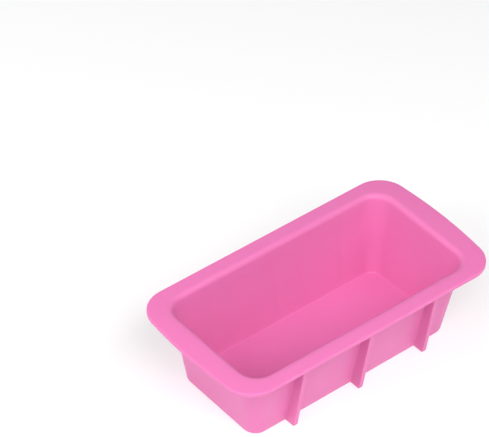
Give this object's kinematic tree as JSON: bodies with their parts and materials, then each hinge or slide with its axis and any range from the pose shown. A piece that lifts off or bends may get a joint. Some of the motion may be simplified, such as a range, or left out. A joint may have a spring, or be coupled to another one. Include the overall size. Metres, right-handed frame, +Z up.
{
  "type": "soap loaf mould",
  "caption": "Open loaf-shaped silicone mould with drafted walls, a flat rim with bowed ends and plate ribs on both long sides.",
  "frame": {"origin": "centre of the underside, on the surface that the mould stands on", "axes": "+X along the loaf's length, +Y across it, +Z up out of the mouth"},
  "size_m": [0.255, 0.1344, 0.072],
  "materials": {
    "silicone_pink": "satin, light pink cured silicone rubber"
  },
  "bodies": {
    "root": {"mould_tray": "silicone_pink", "rim_flange": "silicone_pink", "front_rib_left": "silicone_pink", "front_rib_middle": "silicone_pink", "front_rib_right": "silicone_pink", "back_rib_left": "silicone_pink", "back_rib_middle": "silicone_pink", "back_rib_right": "silicone_pink"}
  },
  "joints": []
}
